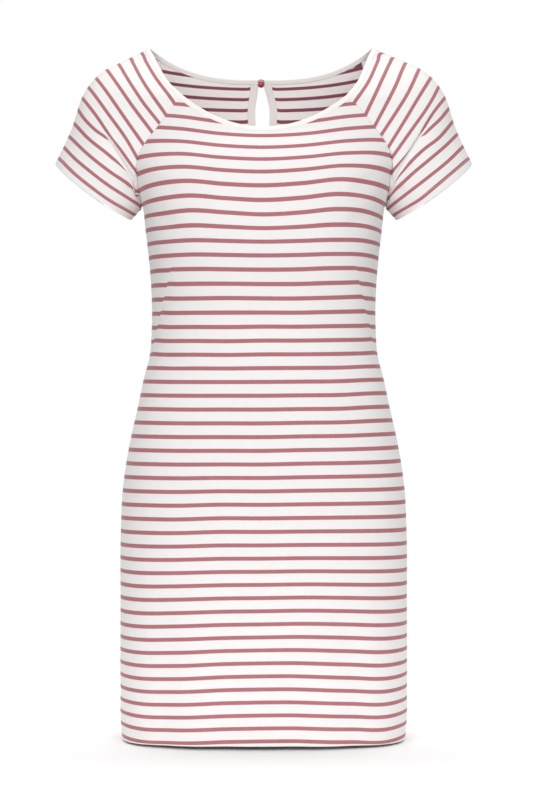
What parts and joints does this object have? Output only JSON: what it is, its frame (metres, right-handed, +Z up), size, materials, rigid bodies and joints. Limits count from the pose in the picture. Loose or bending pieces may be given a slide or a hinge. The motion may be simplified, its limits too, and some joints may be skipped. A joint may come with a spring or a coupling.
{
  "type": "shift dress",
  "caption": "Short-sleeved striped jersey shift dress, filled out and hollow, with raglan sleeves, bound scoop neck and a back keyhole with a button.",
  "frame": {"origin": "midway between the wearer's shoulders, within 2 mm of the height of the neck edge's highest points", "axes": "+Z up, -Y towards the front of the dress, +X to the right of someone who looks at its front"},
  "size_m": [0.524, 0.2398, 0.8679],
  "materials": {
    "striped_jersey": "soft matte knit, off-white with dusty rose stripes",
    "white_jersey": "soft matte knit, off-white",
    "red_button": "polished"
  },
  "bodies": {
    "root": {"front_panel": "striped_jersey", "back_panel": "striped_jersey", "left_sleeve": "striped_jersey", "right_sleeve": "striped_jersey", "neck_binding": "white_jersey", "keyhole_facing": "white_jersey", "button": "red_button", "button_loop": "white_jersey"}
  },
  "joints": []
}
